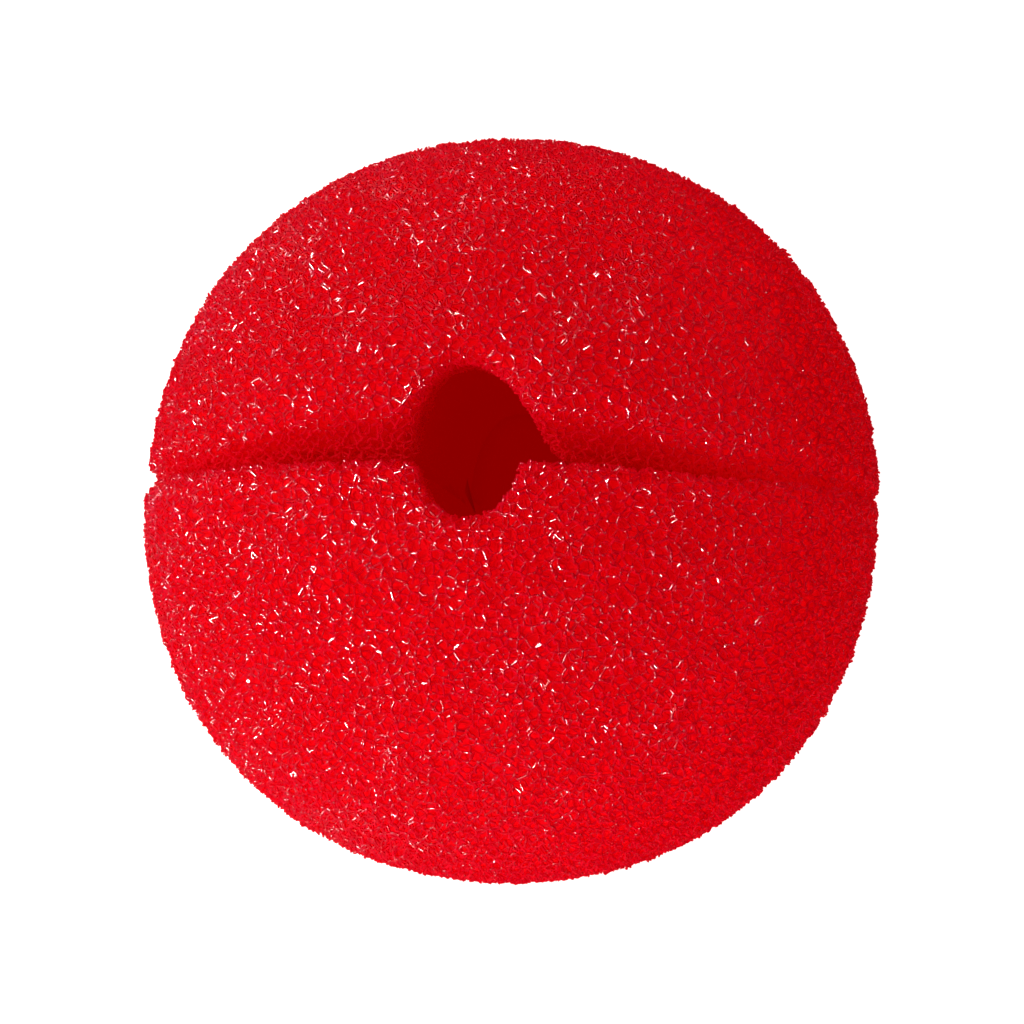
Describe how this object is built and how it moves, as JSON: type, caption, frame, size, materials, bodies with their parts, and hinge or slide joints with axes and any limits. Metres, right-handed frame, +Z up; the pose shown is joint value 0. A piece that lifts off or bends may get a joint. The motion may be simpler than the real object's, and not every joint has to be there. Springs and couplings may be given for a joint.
{
  "type": "foam clown nose",
  "caption": "Soft foam ball with a slit across its back and an oval blind hole in the slit, where the wearer's nose goes.",
  "frame": {"origin": "under the middle of the ball, on the small flat spot that it rests on", "axes": "+Z up, out of the mouth of the nose hole; X along the slit; +Y towards the half with the rolled lip"},
  "size_m": [0.0501, 0.0508, 0.0496],
  "materials": {
    "red_foam": "open-cell foam, matte, with small glints on its cell edges"
  },
  "bodies": {
    "root": {"foam_ball": "red_foam"}
  },
  "joints": []
}
